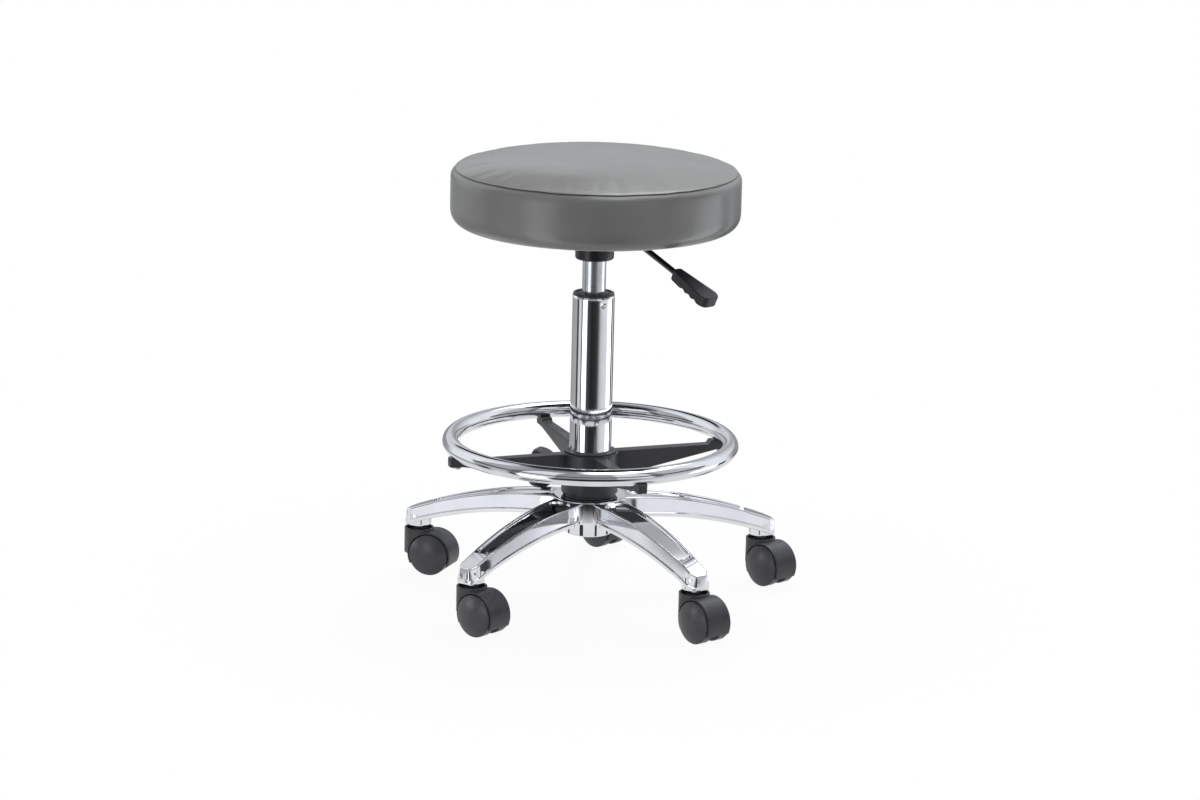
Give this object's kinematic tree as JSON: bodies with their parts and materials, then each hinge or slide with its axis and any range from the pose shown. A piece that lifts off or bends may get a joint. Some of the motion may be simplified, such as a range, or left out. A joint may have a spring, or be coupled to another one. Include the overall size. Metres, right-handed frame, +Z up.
{
  "type": "medical stool",
  "caption": "Round padded clinic stool in grey vinyl, on a gas lift with a release lever, a clamped foot ring and a polished castor base.",
  "frame": {"origin": "on the floor, on the axis of the column", "axes": "+Z up along the column, -Y towards the viewer of the picture, +X to their right"},
  "size_m": [0.4782, 0.4596, 0.5347],
  "materials": {
    "polished_alloy": "polished bright",
    "column_chrome": "mirror chrome",
    "cylinder_chrome": "satin chrome",
    "ring_chrome": "mirror chrome",
    "steel": "zinc plated",
    "black_steel": "satin black",
    "black_plastic": "satin black",
    "castor_plastic": "fine grain dark grey",
    "rubber": "matte",
    "plywood": "raw",
    "cover_cloth": "non-woven",
    "grey_vinyl": "satin vinyl"
  },
  "bodies": {
    "base": {"base_star": "polished_alloy", "column_tube": "column_chrome", "guide_bush": "black_plastic", "thrust_bearing": "steel", "caster_stem_1": "steel", "caster_stem_2": "steel", "caster_stem_3": "steel", "caster_stem_4": "steel", "caster_stem_5": "steel"},
    "piston": {"piston_rod": "steel", "piston_head": "steel", "bump_stop": "rubber", "retaining_clip": "steel"},
    "seat": {"gas_cylinder": "cylinder_chrome", "rod_seal": "rubber", "seat_mount": "black_steel", "plate_bolt_1": "steel", "plate_bolt_2": "steel", "plate_bolt_3": "steel", "plate_bolt_4": "steel", "seat_board": "plywood", "seat_cushion": "grey_vinyl", "dust_cover": "cover_cloth"},
    "lever": {"lever_rod": "black_steel", "lever_grip": "black_plastic"},
    "button": {"release_button": "steel"},
    "ring_liner": {"hub_liner": "black_plastic"},
    "ring": {"ring_spider": "black_plastic", "foot_ring": "ring_chrome", "ring_screw_1": "steel", "ring_screw_2": "steel", "ring_screw_3": "steel", "ring_screw_4": "steel"},
    "knob": {"clamp_knob": "black_plastic", "clamp_screw": "steel"},
    "caster_1": {"caster_hood_1": "castor_plastic", "caster_axle_1": "steel"},
    "wheel_left_1": {"caster_wheel_left_1": "castor_plastic"},
    "wheel_right_1": {"caster_wheel_right_1": "castor_plastic"},
    "caster_2": {"caster_hood_2": "castor_plastic", "caster_axle_2": "steel"},
    "wheel_left_2": {"caster_wheel_left_2": "castor_plastic"},
    "wheel_right_2": {"caster_wheel_right_2": "castor_plastic"},
    "caster_3": {"caster_hood_3": "castor_plastic", "caster_axle_3": "steel"},
    "wheel_left_3": {"caster_wheel_left_3": "castor_plastic"},
    "wheel_right_3": {"caster_wheel_right_3": "castor_plastic"},
    "caster_4": {"caster_hood_4": "castor_plastic", "caster_axle_4": "steel"},
    "wheel_left_4": {"caster_wheel_left_4": "castor_plastic"},
    "wheel_right_4": {"caster_wheel_right_4": "castor_plastic"},
    "caster_5": {"caster_hood_5": "castor_plastic", "caster_axle_5": "steel"},
    "wheel_left_5": {"caster_wheel_left_5": "castor_plastic"},
    "wheel_right_5": {"caster_wheel_right_5": "castor_plastic"}
  },
  "joints": [
    {"name": "seat_swivel", "type": "hinge", "parent": "base", "child": "piston", "pos_m": [0, 0, 0.07741], "axis": [0, 0, 1], "continuous": true},
    {"name": "seat_lift", "type": "slide", "parent": "piston", "child": "seat", "axis": [0, 0, 1], "range_m": [0, 0.14]},
    {"name": "lever_tilt", "type": "hinge", "parent": "seat", "child": "lever", "pos_m": [0.01505, -0.01428, 0.43511], "axis": [-0.6884, -0.7254, 0], "range_deg": [0, 6], "stiffness_Nm_per_rad": 1.5},
    {"name": "button_press", "type": "slide", "parent": "seat", "child": "button", "axis": [0, 0, -1], "range_m": [0, 0.0026]},
    {"name": "ring_slide", "type": "slide", "parent": "base", "child": "ring_liner", "axis": [0, 0, 1], "range_m": [0, 0.15]},
    {"name": "ring_turn", "type": "hinge", "parent": "ring_liner", "child": "ring", "pos_m": [0, 0, 0.12421], "axis": [0, 0, 1], "continuous": true},
    {"name": "knob_turn", "type": "hinge", "parent": "ring", "child": "knob", "pos_m": [-0.04106, 0.01743, 0.14491], "axis": [-0.9205, 0.3907, 0], "range_deg": [0, 360]},
    {"name": "caster_swivel_1", "type": "hinge", "parent": "base", "child": "caster_1", "pos_m": [-0.2079, 0.06755, 0.05391], "axis": [0, 0, 1], "continuous": true},
    {"name": "wheel_spin_left_1", "type": "hinge", "parent": "caster_1", "child": "wheel_left_1", "pos_m": [-0.18994, 0.06137, 0.025], "axis": [0.3256, 0.9455, 0], "continuous": true},
    {"name": "wheel_spin_right_1", "type": "hinge", "parent": "caster_1", "child": "wheel_right_1", "pos_m": [-0.18994, 0.06137, 0.025], "axis": [0.3256, 0.9455, 0], "continuous": true},
    {"name": "caster_swivel_2", "type": "hinge", "parent": "base", "child": "caster_2", "pos_m": [-0.12849, -0.17685, 0.05391], "axis": [0, 0, 1], "continuous": true},
    {"name": "wheel_spin_left_2", "type": "hinge", "parent": "caster_2", "child": "wheel_left_2", "pos_m": [-0.11393, -0.18906, 0.025], "axis": [0.6428, 0.766, 0], "continuous": true},
    {"name": "wheel_spin_right_2", "type": "hinge", "parent": "caster_2", "child": "wheel_right_2", "pos_m": [-0.11393, -0.18906, 0.025], "axis": [0.6428, 0.766, 0], "continuous": true},
    {"name": "caster_swivel_3", "type": "hinge", "parent": "base", "child": "caster_3", "pos_m": [0.12849, -0.17685, 0.05391], "axis": [0, 0, 1], "continuous": true},
    {"name": "wheel_spin_left_3", "type": "hinge", "parent": "caster_3", "child": "wheel_left_3", "pos_m": [0.14095, -0.19119, 0.025], "axis": [0.7547, 0.6561, 0], "continuous": true},
    {"name": "wheel_spin_right_3", "type": "hinge", "parent": "caster_3", "child": "wheel_right_3", "pos_m": [0.14095, -0.19119, 0.025], "axis": [0.7547, 0.6561, 0], "continuous": true},
    {"name": "caster_swivel_4", "type": "hinge", "parent": "base", "child": "caster_4", "pos_m": [0.2079, 0.06755, 0.05391], "axis": [0, 0, 1], "continuous": true},
    {"name": "wheel_spin_left_4", "type": "hinge", "parent": "caster_4", "child": "wheel_left_4", "pos_m": [0.2211, 0.05388, 0.025], "axis": [0.7193, 0.6947, 0], "continuous": true},
    {"name": "wheel_spin_right_4", "type": "hinge", "parent": "caster_4", "child": "wheel_right_4", "pos_m": [0.2211, 0.05388, 0.025], "axis": [0.7193, 0.6947, 0], "continuous": true},
    {"name": "caster_swivel_5", "type": "hinge", "parent": "base", "child": "caster_5", "pos_m": [0, 0.2186, 0.05391], "axis": [0, 0, 1], "continuous": true},
    {"name": "wheel_spin_left_5", "type": "hinge", "parent": "caster_5", "child": "wheel_left_5", "pos_m": [0.01367, 0.2054, 0.025], "axis": [0.6947, 0.7193, 0], "continuous": true},
    {"name": "wheel_spin_right_5", "type": "hinge", "parent": "caster_5", "child": "wheel_right_5", "pos_m": [0.01367, 0.2054, 0.025], "axis": [0.6947, 0.7193, 0], "continuous": true}
  ],
  "couplings": [
    {"joint": "button_press", "follows": "lever_tilt", "m_per_rad": 0.024}
  ]
}
